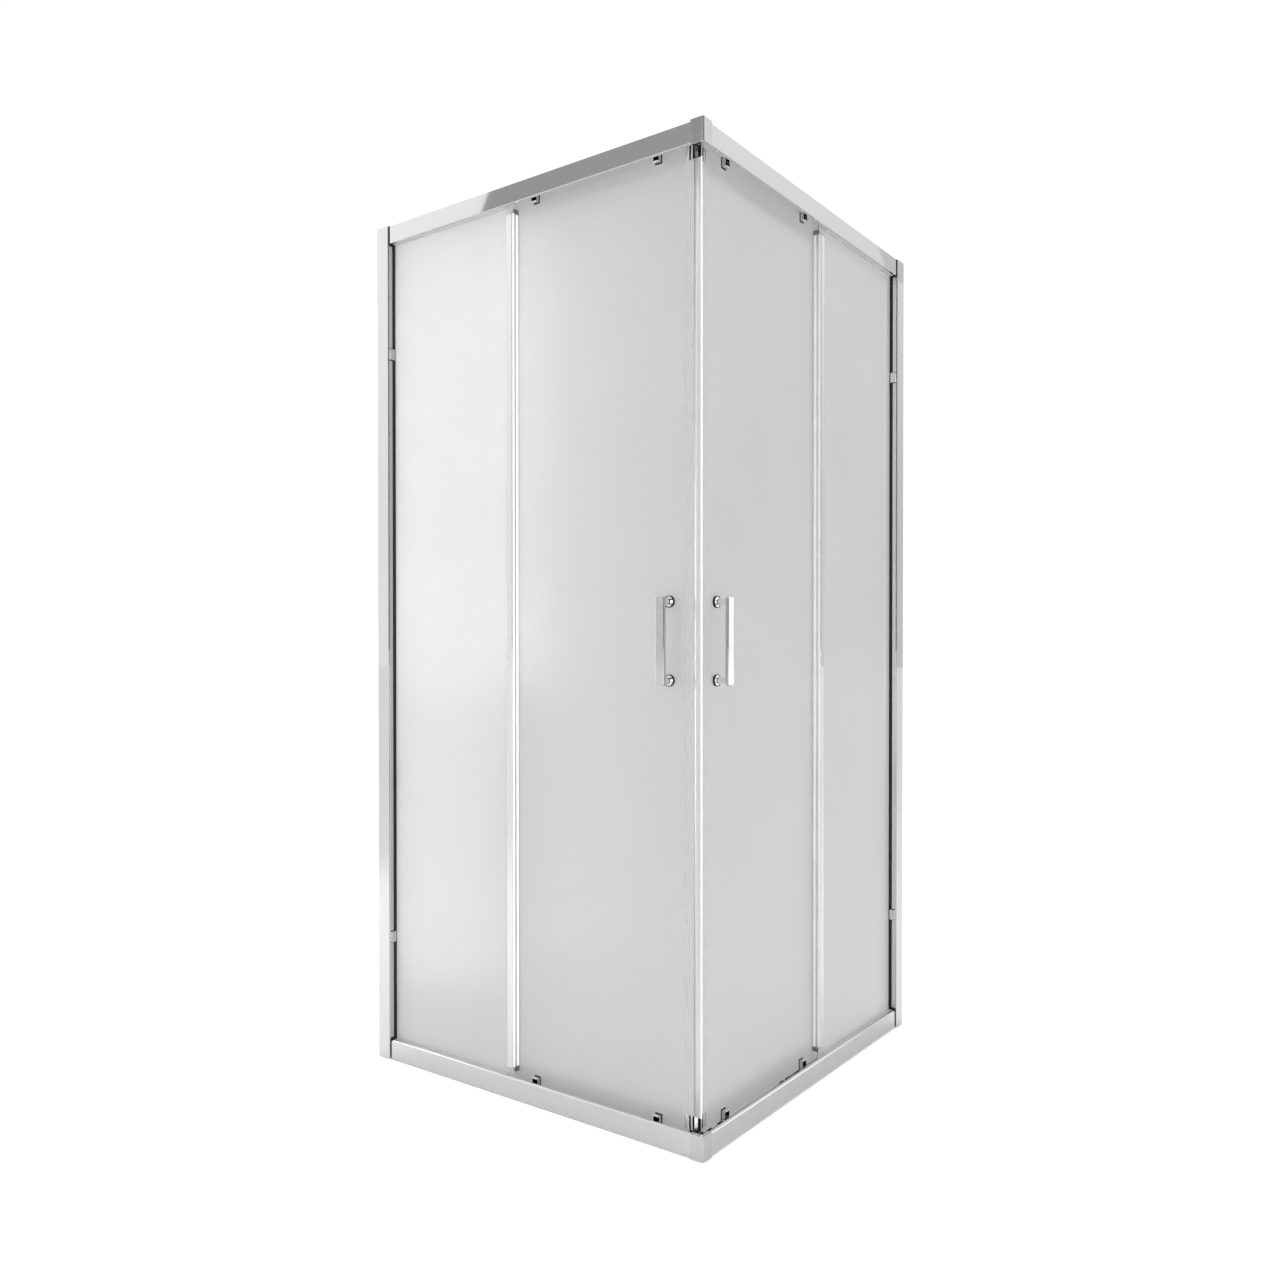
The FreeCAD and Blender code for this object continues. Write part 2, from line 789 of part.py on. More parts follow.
def corner_bracket(height):
    near = face_back
    far = face_back + S.bracket_thickness
    leg = face_back + S.bracket_leg
    piece = Solid("bracket").pad("XY_Plane", height, S.bracket_height, [angle(near, far, leg)])
    middle = height + S.bracket_height / 2
    hole = (S.corner_screw_place, middle, S.screw_radius)
    piece.cut("XZ_Plane", near, S.bracket_thickness, circles=[hole])
    return piece.cut("YZ_Plane", near, S.bracket_thickness, circles=[hole])


def corner_cap(label, bottom, top, plate, plate_reach):
    """Cover over the mitre: two faces round the corner, and a plate or lip across them."""
    outer = [(ZERO, ZERO, S.cap_round)] + angle(ZERO, S.rail_setback, S.cap_leg)[1:]
    piece = Solid(label).pad("XY_Plane", bottom, top - bottom, [outer])
    across = [(ZERO, ZERO, S.cap_round)] + plate_reach
    return piece.pad("XY_Plane", plate, top - plate, [across]).body


def corner_cap_top(label):
    square = [(S.cap_leg, ZERO), (S.cap_leg, S.cap_leg), (ZERO, S.cap_leg)]
    return corner_cap(label, top_lip - S.cap_lap, rail_top + S.cap_rise, rail_top, square)


def corner_cap_bottom(label):
    lip = angle(ZERO, S.cap_lip, S.cap_leg)[1:]
    return corner_cap(label, ZERO, bottom_lip + S.rail_wall, bottom_lip, lip)


# Screws of the frame.

def rail_screws():
    """End screws through the side post into the ports of both rails."""
    web = post_face + S.post_wall
    screws = []
    for height in (rail_floor + S.port_size / 2, rail_ceiling - S.port_size / 2):
        for depth in port_places:
            outline = [
                (web - S.screw_length, ZERO),
                (web - S.screw_length, S.screw_radius),
                (web, S.screw_radius),
                (web, S.screw_head_radius),
                (web + S.screw_head_height, S.screw_head_radius),
                (web + S.screw_head_height, ZERO),
            ]
            screws.append(Solid("rail_screw").turn("x", depth, height, outline))
    return screws


def adjusting_screws():
    """Screws from the side post to the nuts in the track of the wall profile."""
    head = post_face - S.screw_head_height
    web = S.plan_side - S.channel_web
    nut = web - S.overrun - S.nut_height
    screws = []
    for height in cover_places:
        outline = [
            (head, ZERO),
            (head, S.screw_head_radius),
            (post_face, S.screw_head_radius),
            (post_face, S.screw_radius),
            (nut, S.screw_radius),
            (nut, S.nut_radius),
            (nut + S.nut_height, S.nut_radius),
            (nut + S.nut_height, ZERO),
        ]
        screws.append(Solid("adjusting_screw").turn("x", track_centre, height, outline))
    return screws


def corner_screws(axis):
    """Screws through the face of one rail into the corner brackets, under the caps."""
    tip = face_back + S.corner_screw_length
    outline = [
        (S.rail_setback, ZERO),
        (S.rail_setback, S.screw_head_radius),
        (face_back, S.screw_head_radius),
        (face_back, S.screw_radius),
        (tip, S.screw_radius),
        (tip, ZERO),
    ]
    return [Solid("corner_screw").turn(axis, S.corner_screw_place, height + S.bracket_height / 2, outline)
            for height in bracket_heights.values()]


# Doors.

slide_depth = S.slide_thickness + S.slide_gap
bolt_ends = {bottom_bolt_z: inner_face + slide_depth + S.hanger_thickness,
             top_bolt_z: inner_face + S.hanger_thickness}
cap_middles = {bottom_bolt_z: bottom_bolt_z - S.cap_shift, top_bolt_z: top_bolt_z + S.cap_shift}


def bolt_places():
    """Hole centres of the four roller fittings of a door."""
    return [(place, height) for place in roller_places.values() for height in bolt_ends]


def door_glass(label):
    holes = [(x, z, S.bolt_hole_radius) for x, z in bolt_places()]
    holes += [(S.handle_place, z, S.handle_hole_radius) for z in handle_ends]
    sheet_outline = box(S.door_start, door_end, door_bottom, door_top)
    return Solid(label).pad("XZ_Plane", door_front, S.door_thickness, [sheet_outline], holes).body


def magnet_corners():
    """Corners of the magnet strip, which lies along the mitred face of its seal."""
    middle = door_front + S.door_thickness / 2
    x = middle + S.seal_gap + (S.magnet_inset + S.magnet_shift) * ROOT_HALF
    y = middle + (S.magnet_shift - S.magnet_inset) * ROOT_HALF
    along = S.magnet_width / 2 * ROOT_HALF
    across = S.magnet_thickness / 2 * ROOT_HALF
    return [
        (x - along + across, y - along - across),
        (x + along + across, y + along - across),
        (x + along - across, y + along + across),
        (x - along - across, y - along + across),
    ]


seal_bottom = bottom_lip + S.seal_end_low
seal_length = top_lip - S.seal_end_high - seal_bottom


def magnetic_seal(label):
    """Clip on seal of the leading edge, with a mitred face, a chamber and the magnet's pocket."""
    near = door_front - S.seal_wall
    far = door_back + S.seal_wall
    lap = S.door_start + S.seal_lap
    section = [
        (near + S.seal_gap, near),
        (lap, near),
        (lap, door_front),
        (S.door_start, door_front),
        (S.door_start, door_back),
        (lap, door_back),
        (lap, far),
        (far + S.seal_gap, far),
    ]
    chamber = box(S.chamber_start, S.chamber_end, door_front, door_back)
    outlines = [section, chamber, magnet_corners()]
    return Solid(label).pad("XY_Plane", seal_bottom, seal_length, outlines).body


def magnet_strip(label):
    return Solid(label).pad("XY_Plane", seal_bottom, seal_length, [magnet_corners()]).body


def rear_seal(label):
    """Clip on seal of the trailing edge, with a lip towards the fixed glass."""
    near = door_front - S.seal_wall
    far = door_back + S.seal_wall
    lap = door_end - S.rear_lap
    section = [
        (lap, near),
        (lap, door_front),
        (door_end, door_front),
        (door_end, door_back),
        (lap, door_back),
        (lap, far),
        (door_end + S.seal_wall, far),
        (door_end + S.seal_wall, near - S.rear_lip),
        (door_end, near - S.rear_lip),
        (door_end, near),
    ]
    return Solid(label).pad("XY_Plane", seal_bottom, seal_length, [section]).body


def handle_bar(label):
    bar = box_about(S.handle_place, S.handle_height, S.handle_width, S.handle_length, S.handle_round)
    piece = Solid(label).pad("XZ_Plane", S.handle_front, S.handle_thickness, [bar])
    front = S.handle_front.value
    return piece.bevel("Fillet", "Radius", S.handle_edge,
                       lambda edge: abs(edge.YMax - front) < S.run_gap.value).body


def handle_posts(label):
    """Two turned posts from the bar to the pads on the glass, bored for the screws."""
    start = S.handle_front + S.handle_thickness
    collar = outer_face - S.collar_height
    floor = outer_face - S.handle_screw_grip
    outline = [
        (start, ZERO),
        (start, S.post_radius),
        (collar, S.post_radius),
        (collar, S.collar_radius),
        (outer_face, S.collar_radius),
        (outer_face, S.handle_screw_radius),
        (floor, S.handle_screw_radius),
        (floor, ZERO),
    ]
    return group(label, [Solid("handle_post").turn("y", S.handle_place, height, outline)
                         for height in handle_ends])


def handle_screws(label):
    """Dome headed screws from the inside of the door into the posts."""
    floor = outer_face - S.handle_screw_grip
    rim = door_back + S.dome_rim
    crown = door_back + S.dome_height
    outline = [
        (floor, ZERO),
        (floor, S.handle_screw_radius),
        (door_back, S.handle_screw_radius),
        (door_back, S.dome_radius),
        (rim, S.dome_radius),
        (crown, S.dome_radius / 2),
        (crown, ZERO),
    ]
    return group(label, [Solid("handle_screw").turn("y", S.handle_place, height, outline)
                         for height in handle_ends])


def end_buffer(start):
    """Rubber piece clipped on the leading edge of the glass where its seal ends."""
    near = door_front - S.seal_wall
    far = door_back + S.seal_wall
    lap = S.door_start + S.buffer_lap
    section = [
        (S.buffer_start, near, S.hardware_round),
        (lap, near),
        (lap, door_front),
        (S.door_start, door_front),
        (S.door_start, door_back),
        (lap, door_back),
        (lap, far),
        (S.buffer_start, far, S.hardware_round),
    ]
    return Solid("end_buffer").pad("XY_Plane", start, S.buffer_height, [section])


def door_pads(label):
    """Rubber pads between the glass and the fittings on both faces, and the end buffers."""
    pads = [end_buffer(seal_bottom - S.buffer_height), end_buffer(seal_bottom + seal_length)]
    for height in handle_ends:
        ring = [
            (outer_face, S.handle_screw_radius),
            (outer_face, S.handle_pad_radius),
            (door_front, S.handle_pad_radius),
            (door_front, S.handle_screw_radius),
        ]
        pads.append(Solid("handle_pad").turn("y", S.handle_place, height, ring))
    for x, z in bolt_places():
        plate = box_about(x, cap_middles[z], S.cap_pad_width, S.cap_pad_height)
        hole = (x, z, S.bolt_radius)
        pads.append(Solid("outer_pad").pad("XZ_Plane", outer_face, S.pad_thickness, [plate], [hole]))
        plate = box_about(x, z, S.slide_width, S.slide_width)
        pads.append(Solid("inner_pad").pad("XZ_Plane", door_back, S.pad_thickness, [plate], [hole]))
    return group(label, pads)


def roller_caps(label):
    """Outer blocks of the roller fittings, each with its bolt through the glass."""
    front = outer_face - S.cap_depth
    caps = []
    for x, z in bolt_places():
        block = box_about(x, cap_middles[z], S.cap_width, S.cap_height, S.hardware_round)
        cap = Solid("roller_cap").pad("XZ_Plane", front, S.cap_depth, [block])
        cap.bevel("Chamfer", "Size", S.cap_bevel,
                  lambda edge: abs(edge.YMax - front.value) < S.run_gap.value)
        tip = bolt_ends[z]
        shank = [(outer_face, ZERO), (outer_face, S.bolt_radius), (tip, S.bolt_radius), (tip, ZERO)]
        caps.append(cap.turn("y", x, z, shank))
    return group(label, caps)


wheel_near = wheel_centre - S.wheel_width / 2
wheel_far = wheel_centre + S.wheel_width / 2


def axle(piece, x, z, face):
    """Shoulder, pin and head that hold a wheel beside a plate whose face is at the given depth."""
    pin = wheel_far + S.run_gap
    outline = [
        (face, ZERO),
        (face, S.axle_shoulder),
        (wheel_near - S.run_gap, S.axle_shoulder),
        (wheel_near - S.run_gap, S.axle_radius),
        (pin, S.axle_radius),
        (pin, S.axle_shoulder),
        (pin + S.axle_head, S.axle_shoulder),
        (pin + S.axle_head, ZERO),
    ]
    return piece.turn("y", x, z, outline)


def top_hangers(label):
    """Inner plates of the top fittings, with the axles of the wheels."""
    hangers = []
    for x in roller_places.values():
        plate = box(x - S.hanger_width / 2, x + S.hanger_width / 2,
                    top_bolt_z - S.hanger_under, top_wheel_z + S.hanger_over, S.hardware_round)
        hole = (x, top_bolt_z, S.bolt_radius)
        hanger = Solid("hanger").pad("XZ_Plane", inner_face, S.hanger_thickness, [plate], [hole])
        hangers.append(axle(hanger, x, top_wheel_z, inner_face + S.hanger_thickness))
    return group(label, hangers)


def wheel(label, x, z, rim, groove):
    """Grooved wheel, bored to run on its axle."""
    bore = S.axle_radius + S.axle_gap
    outline = [
        (wheel_near, bore),
        (wheel_near, rim),
        (wheel_centre - S.groove_mouth / 2, rim),
        (wheel_centre - S.groove_floor / 2, groove),
        (wheel_centre + S.groove_floor / 2, groove),
        (wheel_centre + S.groove_mouth / 2, rim),
        (wheel_far, rim),
        (wheel_far, bore),
    ]
    return Solid(label).turn("y", x, z, outline).body


guide_bottom = bottom_bolt_z - S.guide_floor
guide_top = guide_bottom + S.guide_height
channel_floor = inner_face + S.slide_thickness + S.slide_gap * 2
spring_axis = channel_floor + (inner_face + S.guide_depth - channel_floor) / 2
slide_top = guide_top + S.release_travel + S.overrun


def bottom_guides(label):
    """Inner housings of the bottom fittings, with the slide's channel and the spring's bore."""
    guides = []
    for x in roller_places.values():
        block = box(x - S.guide_width / 2, x + S.guide_width / 2, guide_bottom, guide_top, S.hardware_round)
        channel = box(x - S.slide_width / 2 - S.slide_gap, x + S.slide_width / 2 + S.slide_gap,
                      guide_bottom - S.overrun, guide_top + S.overrun)
        guide = Solid("guide").pad("XZ_Plane", inner_face, S.guide_depth, [block])
        guide.cut("XZ_Plane", inner_face - S.overrun, channel_floor - inner_face + S.overrun, [channel])
        guide.cut("XZ_Plane", channel_floor, S.hanger_thickness,
                  circles=[(x, bottom_bolt_z, S.bolt_radius)])
        guide.cut("XY_Plane", guide_top - S.spring_depth, S.spring_depth + S.overrun,
                  circles=[(x, spring_axis, S.spring_bore)])
        guides.append(guide)
    return group(label, guides)


def release_slide(label, x):
    """Thumb slide over the bolt; it carries the bottom wheel and drops it off the rib."""
    face = inner_face + S.slide_gap
    slot_bottom = bottom_bolt_z - S.bolt_radius - S.run_gap
    slot_top = bottom_bolt_z + S.bolt_radius + S.run_gap + S.release_travel
    slot_side = S.bolt_radius + S.run_gap
    plate = box(x - S.slide_width / 2, x + S.slide_width / 2,
                bottom_wheel_z - S.slide_tail, slide_top, S.hardware_round)
    slot = box(x - slot_side, x + slot_side, slot_bottom, slot_top, S.hardware_round)
    tab = box(x - S.slide_width / 2, x + S.slide_width / 2,
              slide_top, slide_top + S.tab_thickness)
    piece = Solid(label).pad("XZ_Plane", face, S.slide_thickness, [plate, slot])
    piece.pad("XZ_Plane", face, S.tab_depth, [tab])
    return axle(piece, x, bottom_wheel_z, face + S.slide_thickness).body


def release_spring(label, x):
    """Coil spring of square wire between the housing and the thumb tab."""
    start = guide_top - S.spring_depth
    helix = doc.addObject("Part::Helix", "coil")
    wire = doc.addObject("Part::RegularPolygon", "wire")
    spring = doc.addObject("Part::Sweep", label)
    spring.Label = label
    rise = slide_top - start - S.spring_wire * 2
    helix.setExpression("Radius", S.spring_radius.formula)
    helix.setExpression("Pitch", S.spring_pitch.formula)
    helix.setExpression("Height", rise.formula)
    wire.Polygon = int(SQUARE)
    wire.setExpression("Circumradius", S.spring_wire.formula)
    wire.Placement = FreeCAD.Placement(FreeCAD.Vector(0, 0, 0),
                                       FreeCAD.Rotation(FreeCAD.Vector(1, 0, 0), 90))
    base = (x, spring_axis, start + S.spring_wire)
    for axis, length in zip("xyz", base):
        helix.setExpression(f"Placement.Base.{axis}", length.formula)
    wire.setExpression("Placement.Base.x", (x + S.spring_radius).formula)
    wire.setExpression("Placement.Base.y", spring_axis.formula)
    wire.setExpression("Placement.Base.z", base[2].formula)
    spring.Sections = [wire]
    spring.Spine = (helix, [])
    spring.Solid = True
    spring.Frenet = True
    doc.recompute()
    return spring


# Assembly.

both_sides("wall_profile", wall_profile)
both_sides("side_post", side_post)
both_sides("glazing_gasket", glazing_gasket)
both_sides("fixed_glass", fixed_glass)
both_sides("edge_profile", edge_profile)
both_sides("top_rail", top_rail)
both_sides("bottom_rail", bottom_rail)
both_sides("door_glass", door_glass)
both_sides("magnetic_seal", magnetic_seal)
both_sides("magnet_strip", magnet_strip)
both_sides("rear_seal", rear_seal)
both_sides("handle_bar", handle_bar)
both_sides("handle_posts", handle_posts)
both_sides("handle_screws", handle_screws)
both_sides("door_pads", door_pads)
both_sides("roller_caps", roller_caps)
both_sides("top_hangers", top_hangers)
both_sides("bottom_guides", bottom_guides)
for place, x in roller_places.items():
    both_sides(f"top_wheel_{place}",
               lambda label: wheel(label, x, top_wheel_z, S.top_wheel_radius, S.top_groove_radius))
    both_sides(f"bottom_wheel_{place}",
               lambda label: wheel(label, x, bottom_wheel_z, S.bottom_wheel_radius, S.bottom_groove_radius))
    both_sides(f"release_slide_{place}", lambda label: release_slide(label, x))
    both_sides(f"release_spring_{place}", lambda label: release_spring(label, x))


def across_corner(label, members):
    """Small pieces of both sides as one item: the right hand ones and their mirror images."""
    right = group(f"{label}_of_one_side", members)
    place_in_corner(right)
    left = doc.addObject("Part::Mirroring", f"{label}_mirrored")
    left.Source = right
    left.Base = FreeCAD.Vector(0, 0, 0)
    left.Normal = FreeCAD.Vector(1, 1, 0)
    both = doc.addObject("Part::Compound", label)
    both.Label = label
    both.Links = [right, left]
    SOLIDS.append(both)


across_corner("screw_covers", screw_covers("screw_covers"))
across_corner("edge_plugs", edge_plugs("edge_plugs"))
across_corner("door_stops", [door_stop("door_stops")])
across_corner("base_seals", [base_seal("base_seal")])
across_corner("frame_screws", rail_screws() + adjusting_screws() + corner_screws("y"))
keep(group("corner_brackets", [corner_bracket(height) for height in bracket_heights.values()]))
keep(corner_cap_top("corner_cap_top"))
keep(corner_cap_bottom("corner_cap_bottom"))

doc.recompute()

for item in doc.Objects:
    if {"Invalid", "Error"} & set(item.State):
        raise RuntimeError(f"{item.Label} did not compute: {item.State}")
for item in SOLIDS:
    if item.Shape.isNull() or not item.Shape.isValid() or not item.Shape.Solids:
        raise RuntimeError(f"{item.Label} has no valid solid")

os.makedirs("parts", exist_ok=True)
for item in SOLIDS:
    item.Shape.exportStep(f"parts/{item.Label}.step")
print(len(SOLIDS), "pieces,", sum(len(item.Shape.Solids) for item in SOLIDS), "solids")
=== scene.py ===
"""Corner-entry shower enclosure: materials, small details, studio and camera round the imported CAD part."""
import math

import bpy
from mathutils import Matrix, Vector


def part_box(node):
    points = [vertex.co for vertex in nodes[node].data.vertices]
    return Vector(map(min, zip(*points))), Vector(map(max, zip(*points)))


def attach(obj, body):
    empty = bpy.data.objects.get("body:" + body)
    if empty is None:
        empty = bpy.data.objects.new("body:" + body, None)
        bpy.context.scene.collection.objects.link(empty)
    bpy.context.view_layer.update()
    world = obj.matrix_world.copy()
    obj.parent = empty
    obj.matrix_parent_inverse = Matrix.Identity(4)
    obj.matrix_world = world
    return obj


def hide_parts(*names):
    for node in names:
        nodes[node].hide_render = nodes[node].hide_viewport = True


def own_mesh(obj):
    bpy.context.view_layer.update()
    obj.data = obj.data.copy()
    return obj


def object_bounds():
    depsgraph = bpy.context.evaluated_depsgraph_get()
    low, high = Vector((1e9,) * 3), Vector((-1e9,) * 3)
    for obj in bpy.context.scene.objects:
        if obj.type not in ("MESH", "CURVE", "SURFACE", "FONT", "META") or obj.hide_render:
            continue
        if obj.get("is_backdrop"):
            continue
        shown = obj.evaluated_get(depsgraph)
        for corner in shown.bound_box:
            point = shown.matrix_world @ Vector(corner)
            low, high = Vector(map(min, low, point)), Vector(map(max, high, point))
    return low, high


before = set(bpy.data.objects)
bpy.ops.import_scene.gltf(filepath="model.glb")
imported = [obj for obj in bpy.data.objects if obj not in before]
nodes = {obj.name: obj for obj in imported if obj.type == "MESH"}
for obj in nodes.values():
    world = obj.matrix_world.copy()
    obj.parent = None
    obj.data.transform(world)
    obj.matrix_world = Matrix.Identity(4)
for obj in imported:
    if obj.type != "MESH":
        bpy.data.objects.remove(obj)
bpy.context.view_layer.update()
scene = bpy.context.scene

SIDES = ("left", "right")
WHITE_LIGHT = (1.0, 1.0, 1.0, 1.0)


# Camera, at the photograph's place.
EYE = Vector((1.52475, -2.06153, 0.93088))
AHEAD = Vector((-0.57796, 0.81602, -0.0088))
camera = bpy.data.objects.new("camera", bpy.data.cameras.new("camera"))
scene.collection.objects.link(camera)
camera.location = EYE
camera.rotation_mode = "QUATERNION"
camera.rotation_quaternion = AHEAD.to_track_quat("-Z", "Y")
camera.data.sensor_width = 36.0
camera.data.lens = 30.02
camera.data.shift_x = -0.0261
camera.data.shift_y = 0.0171
camera.data.clip_start = 0.02
camera.data.clip_end = 200.0
scene.camera = camera
scene.view_settings.view_transform = "Standard"


# Materials.
NOISE_LOW, NOISE_HIGH = 0.3, 0.7
BEVEL_SAMPLES = 4


class Finish:
    """A material made from a Principled shader, with object coordinates in metres to drive its patterns."""

    def __init__(self, name, color, **values):
        self.material = bpy.data.materials.new(name)
        self.material.use_nodes = True
        self.tree = self.material.node_tree
        self.shader = next(n for n in self.tree.nodes if n.type == "BSDF_PRINCIPLED")
        self.shader.inputs["Base Color"].default_value = (*color, 1.0)
        for socket, value in values.items():
            self.shader.inputs[socket.replace("_", " ")].default_value = value
        self.place = self.tree.nodes.new("ShaderNodeTexCoord").outputs["Object"]

    def node(self, kind, **values):
        """A new node, with its properties and input values set by name."""
        made = self.tree.nodes.new(kind)
        for name, value in values.items():
            if hasattr(made, name):
                setattr(made, name, value)
            else:
                made.inputs[name.replace("_", " ")].default_value = value
        return made

    def join(self, output, target):
        self.tree.links.new(output, target)

    def stretched(self, scale):
        """Object coordinates, stretched by three factors."""
        node = self.node("ShaderNodeMapping", Scale=scale)
        self.join(self.place, node.inputs["Vector"])
        return node.outputs["Vector"]

    def noise(self, scale, detail=3.0, roughness=0.55, stretch=None):
        node = self.node("ShaderNodeTexNoise", Scale=scale, Detail=detail, Roughness=roughness)
        self.join(self.stretched(stretch) if stretch else self.place, node.inputs["Vector"])
        return node.outputs["Fac"]

    def ranged(self, source, low, high):
        """The range that a noise fills, mapped to another one."""
        node = self.node("ShaderNodeMapRange", From_Min=NOISE_LOW, From_Max=NOISE_HIGH, To_Min=low, To_Max=high)
        self.join(source, node.inputs["Value"])
        return node.outputs["Result"]

    def colors(self, source, first, second):
        node = self.node("ShaderNodeValToRGB")
        ramp = node.color_ramp
        ramp.elements[0].position, ramp.elements[1].position = NOISE_LOW, NOISE_HIGH
        ramp.elements[0].color, ramp.elements[1].color = (*first, 1.0), (*second, 1.0)
        self.join(source, node.inputs["Fac"])
        self.join(node.outputs["Color"], self.shader.inputs["Base Color"])

    def rough(self, source, low, high):
        self.join(self.ranged(source, low, high), self.shader.inputs["Roughness"])

    def bump(self, height, distance, strength, radius=0.0):
        """Fine relief, with edges softened by a radius where one is given."""
        node = self.node("ShaderNodeBump", Strength=strength, Distance=distance)
        self.join(height, node.inputs["Height"])
        if radius:
            edge = self.node("ShaderNodeBevel", samples=BEVEL_SAMPLES, Radius=radius)
            self.join(edge.outputs["Normal"], node.inputs["Normal"])
        self.join(node.outputs["Normal"], self.shader.inputs["Normal"])


# Stretch factors for grain that runs along one axis.
ALONG = {"x": (0.03, 1.0, 1.0), "y": (1.0, 0.03, 1.0), "z": (1.0, 1.0, 0.03)}


def grey(value):
    return (value, value, value)


def polished_profile(name, axis, tint=0.70):
    """Bright-rolled aluminium: soft die lines along the bar, slightly uneven polish."""
    made = Finish(name, grey(tint), Metallic=1.0)
    lines = made.noise(scale=900.0, detail=2.0, roughness=0.6, stretch=ALONG[axis])
    cloud = made.noise(scale=9.0, detail=3.0, roughness=0.5, stretch=ALONG[axis])
    made.colors(cloud, grey(tint - 0.015), (tint + 0.015, tint + 0.015, tint + 0.02))
    made.rough(cloud, low=0.022, high=0.038)
    made.bump(lines, distance=0.000004, strength=0.5, radius=0.0006)
    return made.material


def chrome(name, tint=0.64):
    """Chrome plate with a faint haze."""
    made = Finish(name, grey(tint), Metallic=1.0)
    haze = made.noise(scale=60.0, detail=4.0)
    made.colors(haze, grey(tint - 0.02), grey(tint + 0.02))
    made.rough(haze, low=0.035, high=0.075)
    made.bump(made.noise(scale=350.0, detail=2.0), distance=0.000003, strength=0.4, radius=0.0005)
    return made.material


SMOOTH_FACE = 0.22
ETCH_STEP = 0.0004


def satin_glass(name, axis, middle):
    """Etched glass: smooth outside, milky and grained on the inner side of the pane's middle plane."""
    made = Finish(name, grey(0.45), IOR=1.5, Transmission_Weight=0.18)
    grain = made.noise(scale=1600.0, detail=2.0, roughness=0.6)
    cloud = made.noise(scale=2.2, detail=2.0, roughness=0.5)
    made.colors(cloud, grey(0.446), grey(0.459))
    split = made.node("ShaderNodeSeparateXYZ")
    made.join(made.place, split.inputs["Vector"])
    outer, inner = (0.0, 1.0) if axis == "Y" else (1.0, 0.0)
    etched = made.node("ShaderNodeMapRange", From_Min=middle - ETCH_STEP, From_Max=middle + ETCH_STEP,
                       To_Min=outer, To_Max=inner)
    made.join(split.outputs[axis], etched.inputs["Value"])
    added = made.node("ShaderNodeMath", operation="MULTIPLY")
    made.join(etched.outputs["Result"], added.inputs[0])
    made.join(made.ranged(grain, low=0.15, high=0.25), added.inputs[1])
    total = made.node("ShaderNodeMath", operation="ADD")
    made.join(added.outputs[0], total.inputs[0])
    total.inputs[1].default_value = SMOOTH_FACE
    made.join(total.outputs[0], made.shader.inputs["Roughness"])
    made.bump(grain, distance=0.000008, strength=0.3)
    return made.material


def clear_seal(name):
    """Soft milky PVC with drawn lines along its length."""
    made = Finish(name, (0.52, 0.53, 0.53), IOR=1.45, Transmission_Weight=0.25)
    lines = made.noise(scale=500.0, detail=2.0, roughness=0.5, stretch=ALONG["z"])
    cloud = made.noise(scale=6.0, detail=2.0, roughness=0.5, stretch=ALONG["z"])
    made.colors(cloud, (0.455, 0.46, 0.46), (0.48, 0.485, 0.485))
    made.rough(lines, low=0.26, high=0.32)
    made.bump(lines, distance=0.000001, strength=0.3)
    return made.material


def rubber(name, dark=0.008, light=0.018):
    """Matt black rubber."""
    made = Finish(name, grey(dark), Specular_IOR_Level=0.25)
    grain = made.noise(scale=900.0, detail=4.0)
    made.colors(made.noise(scale=70.0, detail=4.0), grey(dark), grey(light))
    made.rough(grain, low=0.5, high=0.72)
    made.bump(grain, distance=0.00004, strength=0.6)
    return made.material


def moulded(name, first, second, rough=(0.3, 0.45), grain=500.0, depth=0.00002):
    """Injection-moulded plastic: fine even grain, faint flow marks."""
    made = Finish(name, first)
    made.colors(made.noise(scale=25.0, detail=3.0), first, second)
    fine = made.noise(scale=grain, detail=3.0)
    made.rough(fine, *rough)
    made.bump(fine, distance=depth, strength=0.5, radius=0.0003)
    return made.material


def steel(name):
    """Zinc-plated steel with faint spots."""
    made = Finish(name, (0.62, 0.62, 0.63), Metallic=1.0)
    spots = made.noise(scale=220.0, detail=4.0)
    made.colors(spots, (0.55, 0.55, 0.56), (0.66, 0.66, 0.67))
    made.rough(spots, low=0.22, high=0.36)
    made.bump(made.noise(scale=900.0, detail=2.0), distance=0.00001, strength=0.4, radius=0.0003)
    return made.material


# Distance of the panes' middle planes from the enclosure's centre.
FIXED_PANE, DOOR_PANE = 0.4275, 0.4075
GLASS = {
    "fixed_glass_left": satin_glass("satin_fixed_left", "Y", -FIXED_PANE),
    "door_glass_left": satin_glass("satin_door_left", "Y", -DOOR_PANE),
    "fixed_glass_right": satin_glass("satin_fixed_right", "X", FIXED_PANE),
    "door_glass_right": satin_glass("satin_door_right", "X", DOOR_PANE),
}
PROFILE = {axis: polished_profile(f"profile_{axis}", axis) for axis in ALONG}
CHROME = chrome("chrome")
SEAL = clear_seal("clear_seal")
RUBBER = rubber("black_rubber")
GREY = moulded("grey_plastic", (0.20, 0.20, 0.205), (0.25, 0.25, 0.255))
DARK = moulded("dark_plastic", (0.022, 0.022, 0.024), (0.04, 0.04, 0.042))
WHITE = moulded("white_plastic", (0.80, 0.80, 0.78), (0.86, 0.86, 0.84))
STEEL = steel("steel")
LIP = moulded("grey_lip", grey(0.55), grey(0.60))
# Painted highlight: a bright white for the seal beads, which stands in for the highlight line along the seals'
# corner.
PEARL_HIGHLIGHT = moulded("white_bead_highlight", grey(0.86), grey(0.90), rough=(0.12, 0.2), grain=400.0, depth=0.000004)

